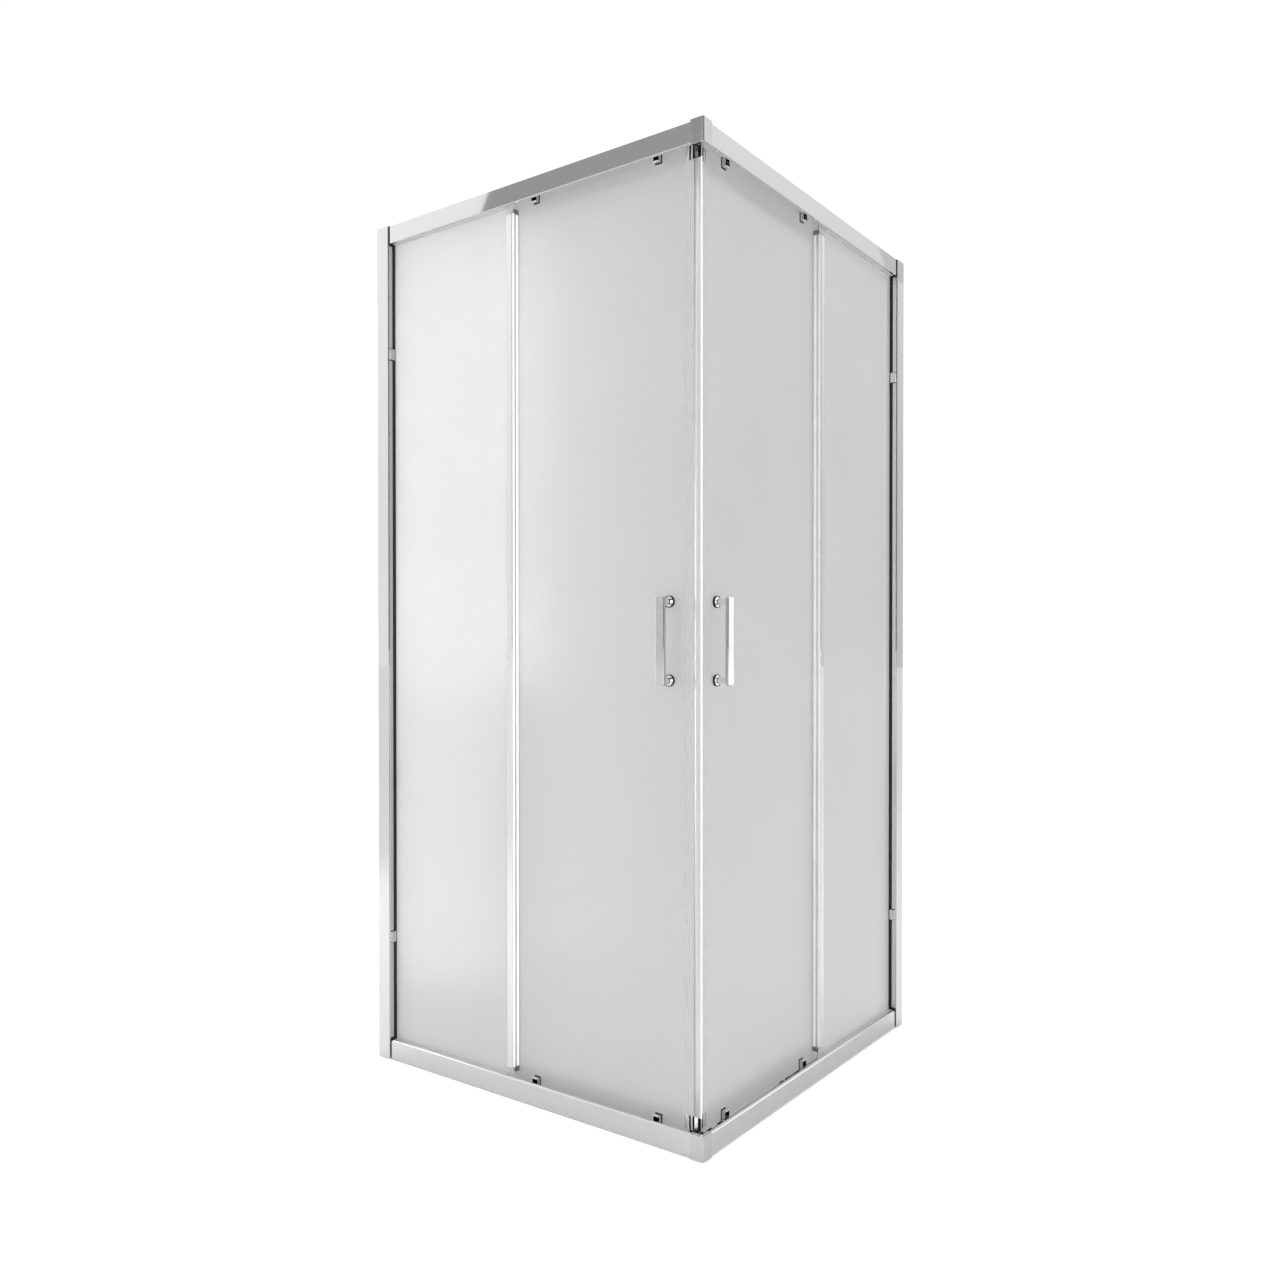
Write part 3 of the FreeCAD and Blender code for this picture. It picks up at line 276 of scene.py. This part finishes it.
# The finish of each node, by the start of its name. The long rails and the panes have their own.
FINISHES = {
    "wall_profile": PROFILE["z"],
    "side_post": PROFILE["z"],
    "edge_profile": polished_profile("profile_edge", "z", tint=0.80),
    "glazing_gasket": RUBBER,
    "magnetic_seal": SEAL,
    "magnet_strip": WHITE,
    "rear_seal": SEAL,
    "base_seals": SEAL,
    "handle_bar": CHROME,
    # Painted highlight: the posts take a brighter copy of the chrome, so that they read white.
    "handle_posts": chrome("chrome_posts_lit", tint=0.86),
    "handle_screws": CHROME,
    "door_pads": RUBBER,
    "roller_caps": CHROME,
    "corner_cap_top": CHROME,
    "corner_cap_bottom": CHROME,
    "top_hangers": STEEL,
    "corner_brackets": STEEL,
    "frame_screws": STEEL,
    "release_spring": STEEL,
    "bottom_guides": DARK,
    "release_slide": DARK,
    "top_wheel": WHITE,
    "bottom_wheel": WHITE,
    "screw_covers": PROFILE["z"],
    "edge_plugs": GREY,
    "door_stops": RUBBER,
}
for name, node in nodes.items():
    if name in GLASS:
        finish = GLASS[name]
    elif name.startswith(("top_rail", "bottom_rail")):
        finish = PROFILE["x" if name.endswith("left") else "y"]
    else:
        finish = next(v for k, v in FINISHES.items() if name.startswith(k))
    node.data.materials.clear()
    node.data.materials.append(finish)


# Small pieces that the solids leave out. Lengths are in metres.
HALF_WIDTH = 0.45
extras = []


def piece(name, body, finish, slot, points, faces, smooth=True):
    """A mesh piece on one body, with its finish. The slot argument is not used."""
    mesh = bpy.data.meshes.new(name)
    mesh.from_pydata(points, [], faces)
    mesh.validate()
    mesh.polygons.foreach_set("use_smooth", [smooth] * len(mesh.polygons))
    mesh.materials.append(finish)
    made = bpy.data.objects.new(name, mesh)
    scene.collection.objects.link(made)
    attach(made, body)
    extras.append(made)
    return made


def at_side(side, along, inward, z):
    """A point of one side: along its rail from the middle of the room, and inward from the outer plane."""
    if side == "left":
        return (along, -HALF_WIDTH + inward, z)
    return (HALF_WIDTH - inward, -along, z)


END_TAPER = 0.0006
END_SHARE = 0.6


def strip(name, side, body, finish, slot, section, low, high):
    """An upright bar of one section, closed at both ends, with its ends drawn in a little."""
    count = len(section)
    middle = (sum(a for a, b in section) / count, sum(b for a, b in section) / count)
    rings = ((low, END_SHARE), (low + END_TAPER, 1.0), (high - END_TAPER, 1.0), (high, END_SHARE))
    points = [
        at_side(side, middle[0] + (a - middle[0]) * share, middle[1] + (b - middle[1]) * share, z)
        for z, share in rings
        for a, b in section
    ]
    faces = [tuple(range(count)), tuple(range(3 * count, 4 * count))]
    for ring in range(3):
        here, above = ring * count, (ring + 1) * count
        for i in range(count):
            j = (i + 1) % count
            faces.append((here + i, here + j, above + j, above + i))
    piece(name, body, finish, slot, points, faces)


LIP_HALF = 0.0006
LIP_GROOVE = 0.0001
LIP_NOSE = 0.0002


def shelf(name, side, start, end, near, far, height):
    """A level sealing lip in the mouth of a rail, with a rounded free edge and a groove along its middle."""
    span = far - near
    outline = [
        (near, -LIP_HALF),
        (near + span * 0.45, -LIP_HALF),
        (near + span * 0.5, -LIP_GROOVE),
        (near + span * 0.55, -LIP_HALF),
        (far - LIP_HALF, -LIP_HALF),
        (far, -LIP_NOSE),
        (far, LIP_NOSE),
        (far - LIP_HALF, LIP_HALF),
        (near, LIP_HALF),
    ]
    count = len(outline)
    points = [at_side(side, along, inward, height + up) for along in (start, end) for inward, up in outline]
    faces = [tuple(range(count)), tuple(range(count, 2 * count))]
    for i in range(count):
        j = (i + 1) % count
        faces.append((i, j, count + j, count + i))
    piece(name, "frame", LIP, "white_plastic", points, faces, smooth=False)


def rib(nose, first, last, bulge=0.0011, steps=8):
    """A crowned rib that stands on the nose of a profile, from one depth to another."""
    return [
        (nose + bulge * math.sin(math.pi * i / steps) ** 0.6, first + (last - first) * i / steps)
        for i in range(steps + 1)
    ]


def bead(along, inward, radius, turn, steps=12):
    """A round bead, half of it (turn 1) on a flat face or whole (turn 2) on a fin."""
    count = steps + 1 if turn == 1.0 else steps
    angles = [math.pi + math.pi * turn * i / steps for i in range(count)]
    return [(along + radius * math.cos(a), inward + radius * math.sin(a)) for a in angles]


def tube(points, radius, sides=8):
    """Rings of points along a path, and the faces of the wire round it."""
    places, faces = [], []
    last = len(points) - 1
    for i, here in enumerate(points):
        ahead = (points[min(i + 1, last)] - points[max(i - 1, 0)]).normalized()
        across = ahead.cross(Vector((0, 0, 1))).normalized()
        up = across.cross(ahead)
        for k in range(sides):
            a = 2 * math.pi * k / sides
            places.append(here + radius * (math.cos(a) * across + math.sin(a) * up))
    for i in range(last):
        here, onward = i * sides, (i + 1) * sides
        for k in range(sides):
            j = (k + 1) % sides
            faces.append((here + k, here + j, onward + j, onward + k))
    faces.append(tuple(range(sides)))
    faces.append(tuple(range(last * sides, (last + 1) * sides)))
    return places, faces


# Section of the rubber ring, as radius and depth.
RING_SECTION = [(0.0098, 0.0354), (0.0108, 0.0350), (0.0114, 0.0356), (0.0114, 0.0391), (0.0098, 0.0391)]


def post_ring(name, side, along, height, steps=32):
    """A rubber ring round the collar of a handle post."""
    count = len(RING_SECTION)
    points, faces = [], []
    for i in range(steps):
        a = 2 * math.pi * i / steps
        for radius, inward in RING_SECTION:
            points.append(at_side(side, along + radius * math.cos(a), inward, height + radius * math.sin(a)))
    for i in range(steps):
        here, onward = i * count, (i + 1) % steps * count
        for k in range(count):
            j = (k + 1) % count
            faces.append((here + k, here + j, onward + j, onward + k))
    piece(name, f"door_{side}", RUBBER, "black_rubber", points, faces, smooth=False)


COIL_STEPS = 20
CLOSED_SHARE = 0.12
CLOSED_RISE = 0.06


def coil(place, side, turns=5.5, wire=0.00055):
    """A compression spring with closed ends."""
    node = f"release_spring_{place}_{side}"
    low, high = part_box(node)
    radius = min(high[0] - low[0], high[1] - low[1]) / 2 - wire
    x, y = (low[0] + high[0]) / 2, (low[1] + high[1]) / 2
    bottom, top = low[2] + wire, high[2] - wire
    points = []
    for i in range(int(turns * COIL_STEPS) + 1):
        share = i / (turns * COIL_STEPS)
        rise = min(max((share - CLOSED_SHARE) / (1 - 2 * CLOSED_SHARE), 0.0), 1.0)
        height = bottom + (top - bottom) * (CLOSED_RISE * share + (1 - CLOSED_RISE) * rise)
        angle = 2 * math.pi * turns * share
        points.append(Vector((x + radius * math.cos(angle), y + radius * math.sin(angle), height)))
    made = piece(f"spring_coil_{place}_{side}", f"door_{side}", STEEL, "steel", *tube(points, wire))
    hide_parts(node)
    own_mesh(made)


for side in SIDES:
    for place in ("lead", "trail"):
        coil(place, side)

# Black strips at both ends of the screw covers, which paint the shade in the gaps there, and the gaskets' fins
# on the posts, whose black rubber also paints the shade beside the glass edge, as points along and inward.
COVER_SHADOW_STRIP = [(-0.4112, 0.0036), (-0.4072, 0.0036), (-0.4072, 0.0167), (-0.4112, 0.0167)]
SHADOW_STRIP_THICKNESS = 0.0013
GASKET_FIN_AND_SHADE = [(-0.4112, 0.0118), (-0.4104, 0.0118), (-0.4098, 0.0128), (-0.4098, 0.0192), (-0.4112, 0.0192)]
FIN_LOW, FIN_HIGH = 0.0455, 1.8590
for side in SIDES:
    for place, middle in (("bottom", 0.280), ("top", 1.610)):
        for part, z in (("lower", middle - 0.0131), ("upper", middle + 0.0119)):
            # Painted shade: black strips where the gaps at the ends of the screw covers fall into shade.
            strip(f"cover_seam_{place}_{part}_{side}", side, "frame", RUBBER, "black_rubber",
                  COVER_SHADOW_STRIP, z, z + SHADOW_STRIP_THICKNESS)
    # The fins are the gaskets' own black rubber, and their black also paints the shade in the gap beside the
    # glass edge.
    strip(f"gasket_fin_and_shade_{side}", side, "frame", RUBBER, "black_rubber", GASKET_FIN_AND_SHADE, FIN_LOW, FIN_HIGH)

COLLAR_RADIUS = 0.010
post_low, post_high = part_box("handle_posts_left")
for side in SIDES:
    for place, height in (("lower", post_low[2] + COLLAR_RADIUS), ("upper", post_high[2] - COLLAR_RADIUS)):
        post_ring(f"post_ring_{place}_{side}", side, (post_low[0] + post_high[0]) / 2, height)

# Lips and beads of the doors' leading edges, wipers of the fixed panes and lips in the rails. The beads' bright
# white is a painted highlight along the seals' corner, and the wipers' colours differ by side as painted light
# and shade.
CLEARANCE = 0.001
edge_low, edge_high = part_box("edge_profile_left")
seal_low, seal_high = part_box("magnetic_seal_left")
EDGE_SPAN = (edge_low[2] + CLEARANCE, edge_high[2] - CLEARANCE)
SEAL_SPAN = (seal_low[2] + CLEARANCE, seal_high[2] - CLEARANCE)
SEAL_FIN = [
    (0.4040, 0.0386), (0.4105, 0.0386), (0.4212, 0.0372),
    (0.4212, 0.0357), (0.4105, 0.0366), (0.4040, 0.0372),
]
BEADS = {
    "left": bead(along=0.4216, inward=0.03645, radius=0.0016, turn=2.0),
    "right": bead(along=0.4098, inward=0.0386, radius=0.0009, turn=1.0),
}
WIPERS = {"front": (0.0196, 0.0268), "back": (0.0305, 0.0382)}
# Painted light and shade: the same wiper is white on the left, as lit, and grey on the right, as shaded.
WIPER_LIT_AND_SHADED = {"left": WHITE, "right": LIP}
SLEEVE_SPANS = {"bottom": (0.034, seal_low[2]), "top": (seal_high[2], 1.876)}
SLEEVES = {"outer": (0.3848, 0.3925), "inner": (0.3962, 0.4002)}
SLEEVE_FRONT, SLEEVE_BACK = 0.0381, 0.0386
LIP_HEIGHTS = {"top": 1.8612, "bottom": 0.0436}
LIP_ROOT = 0.0042
LIPS = {"pane": (-0.4075, -0.0600, 0.0196), "door": (-0.0595, 0.4200, 0.0100)}

strip("seal_fin_left", "left", "door_left", SEAL, "clear_seal", SEAL_FIN, *SEAL_SPAN)
for side in SIDES:
    door = f"door_{side}"
    for part, (first, last) in WIPERS.items():
        strip(f"wiper_{part}_{side}", side, "frame", WIPER_LIT_AND_SHADED[side], "white_plastic",
              rib(edge_high[0], first, last), *EDGE_SPAN)
    strip(f"seal_bead_highlight_{side}", side, door, PEARL_HIGHLIGHT, "clear_seal", BEADS[side], *SEAL_SPAN)
    for place, (low, high) in SLEEVE_SPANS.items():
        for part, (first, last) in SLEEVES.items():
            section = [(first, SLEEVE_BACK), (last, SLEEVE_BACK), (last, SLEEVE_FRONT), (first, SLEEVE_FRONT)]
            strip(f"seal_sleeve_{place}_{part}_{side}", side, door, SEAL, "clear_seal", section, low, high)
    for place, height in LIP_HEIGHTS.items():
        for part, (start, end, reach) in LIPS.items():
            shelf(f"rail_lip_{place}_{part}_{side}", side, start, end, LIP_ROOT, reach, height)


# Studio.
def receivers(name, members):
    """A collection of the objects that a light shines on."""
    made = bpy.data.collections.new(name)
    for member in members:
        made.objects.link(member)
    return made


def panel(name, corners, material):
    """A flat stage surface with its corners in order."""
    mesh = bpy.data.meshes.new(name)
    mesh.from_pydata(corners, [], [tuple(range(len(corners)))])
    mesh.materials.append(material)
    made = bpy.data.objects.new(name, mesh)
    scene.collection.objects.link(made)
    made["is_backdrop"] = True
    return made


def card(name, corners, glow):
    """A studio card of one brightness, which the camera sees only in reflections and through the glass."""
    made = Finish(name, grey(0.0), Roughness=1.0, Specular_IOR_Level=0.0)
    made.shader.inputs["Emission Color"].default_value = WHITE_LIGHT
    shade = made.ranged(made.noise(scale=0.4), glow * 0.97, glow * 1.03)
    made.join(shade, made.shader.inputs["Emission Strength"])
    flat = panel(name, corners, made.material)
    flat.visible_camera = False
    flat.visible_shadow = False


def lamp(name, light, travel, shines_on=None):
    """A light that shines in one direction, on all objects or on some."""
    made = bpy.data.objects.new(name, light)
    scene.collection.objects.link(made)
    made.rotation_mode = "QUATERNION"
    made.rotation_quaternion = Vector(travel).to_track_quat("-Z", "Y")
    if shines_on is not None:
        made.light_linking.receiver_collection = shines_on
    return made


def softbox(name, middle, aim, width, height, glow, shines_on=None):
    """A rectangular area light of a given brightness, which the camera doesn't see."""
    light = bpy.data.lights.new(name, "AREA")
    light.shape = "RECTANGLE"
    light.size, light.size_y = width, height
    light.energy = glow * math.pi * width * height
    made = lamp(name, light, Vector(aim) - Vector(middle), shines_on)
    made.location = middle
    made.visible_camera = False
    return made


SHEEN_Y = -0.85


def sheen_box(name, x, z, width, height, glow):
    """A softbox in front of the left side that shows only in the smooth faces of the panes."""
    made = softbox(name, (x, SHEEN_Y, z), (x, 1.0, z), width, height, glow, panes)
    made.data.use_shadow = False
    made.data.cycles.use_multiple_importance_sampling = False
    made.visible_diffuse = False
    made.visible_transmission = False


SUN_ANGLE = 0.2


def pane_fill(name, travel, strength):
    """An even light on the panes and seals, without shadows or glints."""
    light = bpy.data.lights.new(name, "SUN")
    light.energy, light.angle = strength, SUN_ANGLE
    light.use_shadow = False
    made = lamp(name, light, travel, milky)
    made.visible_glossy = False
    made.visible_transmission = False


# The floor glows a little for the camera only.
FLOOR_GLOW = 0.32
FLOOR_REACH = 60.0
FLOOR_Z = -0.0005
ground = Finish("pale_floor", grey(0.93), Roughness=0.75)
ground.shader.inputs["Emission Color"].default_value = WHITE_LIGHT
seen_glow = ground.node("ShaderNodeMath", operation="MULTIPLY")
ground.join(ground.node("ShaderNodeLightPath").outputs["Is Camera Ray"], seen_glow.inputs[0])
seen_glow.inputs[1].default_value = FLOOR_GLOW
ground.join(seen_glow.outputs[0], ground.shader.inputs["Emission Strength"])
ground.colors(ground.noise(scale=0.7, detail=3.0), grey(0.925), grey(0.94))
floor = panel("floor", [
    (-FLOOR_REACH, -FLOOR_REACH, FLOOR_Z), (FLOOR_REACH, -FLOOR_REACH, FLOOR_Z),
    (FLOOR_REACH, FLOOR_REACH, FLOOR_Z), (-FLOOR_REACH, FLOOR_REACH, FLOOR_Z),
], ground.material)

panes = receivers("panes", [node for name, node in nodes.items() if name in GLASS])
milky = receivers("panes_and_seals", [
    *(node for name, node in nodes.items() if name in GLASS or "seal" in name), *extras])
trim = receivers("trim", [
    node for name, node in nodes.items() if name.startswith(("handle", "bottom_rail", "corner_cap"))])
under_overhead = receivers("trim_and_floor", [
    *(node for name, node in nodes.items() if name not in GLASS and "seal" not in name), floor])

# Surroundings: an even light that rises towards -X and upwards, behind a white backdrop for the camera.
BASE_LIGHT = 0.72
BACKDROP = 1.05
world = bpy.data.worlds.new("studio")
scene.world = world
world.use_nodes = True
sky = world.node_tree
parts = sky.nodes.new("ShaderNodeSeparateXYZ")
sky.links.new(sky.nodes.new("ShaderNodeTexCoord").outputs["Generated"], parts.inputs["Vector"])


def sky_ramp(base, axis, start, end, amount):
    """A base brightness that rises smoothly by an amount as one direction component goes from start to end."""
    ramp = sky.nodes.new("ShaderNodeMapRange")
    ramp.interpolation_type = "SMOOTHSTEP"
    ramp.inputs["From Min"].default_value = start
    ramp.inputs["From Max"].default_value = end
    ramp.inputs["To Min"].default_value = 0.0
    ramp.inputs["To Max"].default_value = amount
    sky.links.new(parts.outputs[axis], ramp.inputs["Value"])
    total = sky.nodes.new("ShaderNodeMath")
    if isinstance(base, float):
        total.inputs[0].default_value = base
    else:
        sky.links.new(base, total.inputs[0])
    sky.links.new(ramp.outputs["Result"], total.inputs[1])
    return total.outputs[0]


brightness = sky_ramp(BASE_LIGHT, "X", start=-0.5, end=-0.85, amount=0.36)
brightness = sky_ramp(brightness, "Z", start=0.1, end=0.45, amount=0.25)
lit = sky.nodes["Background"]
lit.inputs["Color"].default_value = WHITE_LIGHT
sky.links.new(brightness, lit.inputs["Strength"])
backdrop = sky.nodes.new("ShaderNodeBackground")
backdrop.inputs["Color"].default_value = WHITE_LIGHT
backdrop.inputs["Strength"].default_value = BACKDROP
choice = sky.nodes.new("ShaderNodeMixShader")
sky.links.new(sky.nodes.new("ShaderNodeLightPath").outputs["Is Camera Ray"], choice.inputs["Fac"])
sky.links.new(lit.outputs["Background"], choice.inputs[1])
sky.links.new(backdrop.outputs["Background"], choice.inputs[2])
sky.links.new(choice.outputs["Shader"], sky.nodes["World Output"].inputs["Surface"])

softbox("overhead", (0.3, 0.3, 4.6), (0.0, 0.0, 0.0), width=5.0, height=5.0, glow=0.9, shines_on=under_overhead)
softbox("front_strip", (2.39, -3.36, 1.9), (0.45, -0.45, 1.0), width=0.9, height=3.4, glow=1.8)
softbox("side_box", (3.2, 3.4, 1.0), (0.45, 0.0, 1.0), width=1.4, height=1.6, glow=0.78, shines_on=trim)
softbox("left_box", (-2.6, -0.9, 1.1), (-0.3, -0.45, 0.95), width=1.2, height=2.6, glow=2.6)
sheen_box("sheen_high", x=-0.84, z=1.455, width=0.97, height=1.25, glow=4.0)
sheen_box("sheen_tail", x=-0.20, z=1.1, width=0.30, height=1.9, glow=1.0)
sheen_box("sheen_low", x=-0.90, z=0.42, width=0.84, height=0.82, glow=2.6)
pane_fill("pane_fill", (-0.764, 0.644, 0.01), strength=2.95)
pane_fill("pane_fill_back", (1.25, -1.3, -0.1), strength=1.1)
card("flag_left", [(-2.60, -2.87, 3.22), (-0.6, -2.87, 3.22), (-0.6, -2.87, 4.0), (-2.15, -2.87, 4.0)], 0.42)
card("flag_right", [(2.06, 3.98, 3.22), (2.06, 5.2, 3.22), (2.06, 5.2, 4.0), (2.06, 3.15, 4.0)], 0.70)
card("dark_wall", [(-0.9, -5.6, 0.95), (6.0, -3.6, 0.95), (6.0, -3.6, 5.5), (-0.9, -5.6, 5.5)], 0.10)
card("dark_side", [(6.0, -3.6, 0.95), (6.0, 2.4, 0.95), (6.0, 2.4, 5.5), (6.0, -3.6, 5.5)], 0.10)


# Bounds of the shown objects, without the stage surfaces.
low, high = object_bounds()
